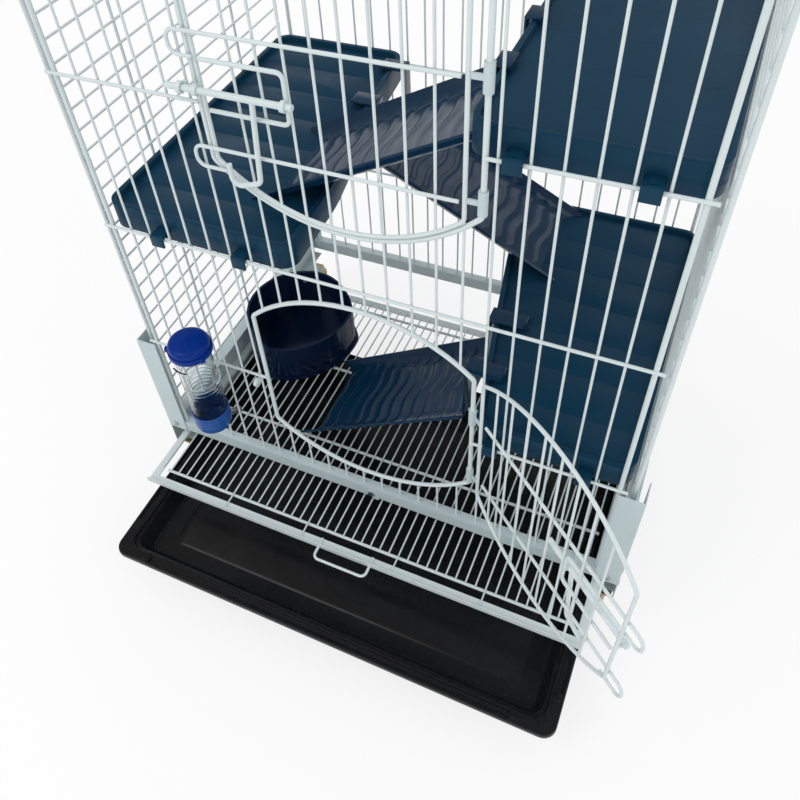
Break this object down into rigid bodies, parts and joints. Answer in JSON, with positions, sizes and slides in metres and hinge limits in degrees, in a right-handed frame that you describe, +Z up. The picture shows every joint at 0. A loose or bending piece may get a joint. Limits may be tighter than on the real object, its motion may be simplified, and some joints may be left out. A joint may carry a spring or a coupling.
{
  "type": "small animal cage",
  "caption": "Tall wire rodent cage on swivel casters with arched bolted doors, plastic shelves and ramps, sliding floor grate and litter tray, bowl and drinking bottle.",
  "frame": {"origin": "centre of the cage base on the floor, half way between the front and back wire planes and between the side panels", "axes": "+Z up, the doors face -Y, +X to the right as seen from the front"},
  "size_m": [0.6574, 0.6265, 0.869],
  "materials": {
    "pale_wire": "smooth pale blue-white powder coat",
    "pale_sheet": "smooth pale blue-white powder coat",
    "bright_steel": "bright zinc",
    "caster_metal": "yellow zinc",
    "caster_wheel": "satin beige",
    "navy_plastic": "moulded satin gloss",
    "black_plastic": "vacuum formed gloss",
    "clear_plastic": "clear",
    "blue_plastic": "translucent gloss"
  },
  "bodies": {
    "cage": {"front_panel": "pale_wire", "back_panel": "pale_wire", "left_panel": "pale_wire", "right_panel": "pale_wire", "roof_panel": "pale_wire", "front_rail": "pale_sheet", "back_rail": "pale_sheet", "left_rail": "pale_sheet", "right_rail": "pale_sheet", "post_screws": "bright_steel", "catch_rivet": "bright_steel", "left_platform": "navy_plastic", "lower_platform": "navy_plastic", "upper_platform": "navy_plastic", "lower_ramp": "navy_plastic", "middle_ramp": "navy_plastic", "upper_ramp": "navy_plastic", "bottle_tube": "clear_plastic", "bottle_cup": "blue_plastic", "bottle_cap": "blue_plastic", "bottle_spout": "bright_steel", "spout_ball": "bright_steel", "bottle_hanger": "pale_wire", "front_left_post": "pale_sheet", "front_right_post": "pale_sheet", "back_left_post": "pale_sheet", "back_right_post": "pale_sheet", "front_left_caster_plate": "caster_metal", "front_right_caster_plate": "caster_metal", "back_left_caster_plate": "caster_metal", "back_right_caster_plate": "caster_metal"},
    "upper_door": {"upper_door": "pale_wire", "upper_hinge_clips": "pale_sheet"},
    "upper_bolt": {"upper_bolt": "pale_wire"},
    "lower_door": {"lower_door": "pale_wire", "lower_hinge_clips": "pale_sheet"},
    "lower_bolt": {"lower_bolt": "pale_wire"},
    "grate": {"grate": "pale_wire", "bowl": "navy_plastic"},
    "tray": {"tray": "black_plastic"},
    "swing_catch": {"swing_catch": "pale_sheet"},
    "front_left_fork": {"front_left_fork": "caster_metal", "front_left_axle": "bright_steel"},
    "front_left_wheel": {"front_left_wheel": "caster_wheel"},
    "front_right_fork": {"front_right_fork": "caster_metal", "front_right_axle": "bright_steel"},
    "front_right_wheel": {"front_right_wheel": "caster_wheel"},
    "back_left_fork": {"back_left_fork": "caster_metal", "back_left_axle": "bright_steel"},
    "back_left_wheel": {"back_left_wheel": "caster_wheel"},
    "back_right_fork": {"back_right_fork": "caster_metal", "back_right_axle": "bright_steel"},
    "back_right_wheel": {"back_right_wheel": "caster_wheel"}
  },
  "joints": [
    {"name": "upper_door_hinge", "type": "hinge", "parent": "cage", "child": "upper_door", "pos_m": [0.1275, -0.2075, 0.6785], "axis": [0, 0, 1], "range_deg": [0, 140]},
    {"name": "upper_bolt_slide", "type": "slide", "parent": "upper_door", "child": "upper_bolt", "axis": [1, 0, 0], "range_m": [0, 0.024]},
    {"name": "lower_door_hinge", "type": "hinge", "parent": "cage", "child": "lower_door", "pos_m": [0.1275, -0.2075, 0.2905], "axis": [0, 0, 1], "range_deg": [-140, 0]},
    {"name": "lower_bolt_slide", "type": "slide", "parent": "lower_door", "child": "lower_bolt", "axis": [0.766, -0.6428, 0], "range_m": [0, 0.024]},
    {"name": "grate_slide", "type": "slide", "parent": "cage", "child": "grate", "axis": [0, 1, 0], "range_m": [-0.11, 0.0905]},
    {"name": "tray_slide", "type": "slide", "parent": "cage", "child": "tray", "axis": [0, 1, 0], "range_m": [-0.18, 0.184]},
    {"name": "swing_catch_turn", "type": "hinge", "parent": "cage", "child": "swing_catch", "pos_m": [0, -0.2145, 0.1075], "axis": [0, 1, 0], "range_deg": [-45, 45]},
    {"name": "front_left_swivel", "type": "hinge", "parent": "cage", "child": "front_left_fork", "pos_m": [-0.3003, -0.196, 0.05], "axis": [0, 0, 1], "continuous": true},
    {"name": "front_left_roll", "type": "hinge", "parent": "front_left_fork", "child": "front_left_wheel", "pos_m": [-0.3003, -0.184, 0.021], "axis": [1, 0, 0], "continuous": true},
    {"name": "front_right_swivel", "type": "hinge", "parent": "cage", "child": "front_right_fork", "pos_m": [0.3003, -0.196, 0.05], "axis": [0, 0, 1], "continuous": true},
    {"name": "front_right_roll", "type": "hinge", "parent": "front_right_fork", "child": "front_right_wheel", "pos_m": [0.3003, -0.184, 0.021], "axis": [1, 0, 0], "continuous": true},
    {"name": "back_left_swivel", "type": "hinge", "parent": "cage", "child": "back_left_fork", "pos_m": [-0.3003, 0.196, 0.05], "axis": [0, 0, 1], "continuous": true},
    {"name": "back_left_roll", "type": "hinge", "parent": "back_left_fork", "child": "back_left_wheel", "pos_m": [-0.3003, 0.208, 0.021], "axis": [1, 0, 0], "continuous": true},
    {"name": "back_right_swivel", "type": "hinge", "parent": "cage", "child": "back_right_fork", "pos_m": [0.3003, 0.196, 0.05], "axis": [0, 0, 1], "continuous": true},
    {"name": "back_right_roll", "type": "hinge", "parent": "back_right_fork", "child": "back_right_wheel", "pos_m": [0.3003, 0.208, 0.021], "axis": [1, 0, 0], "continuous": true}
  ]
}
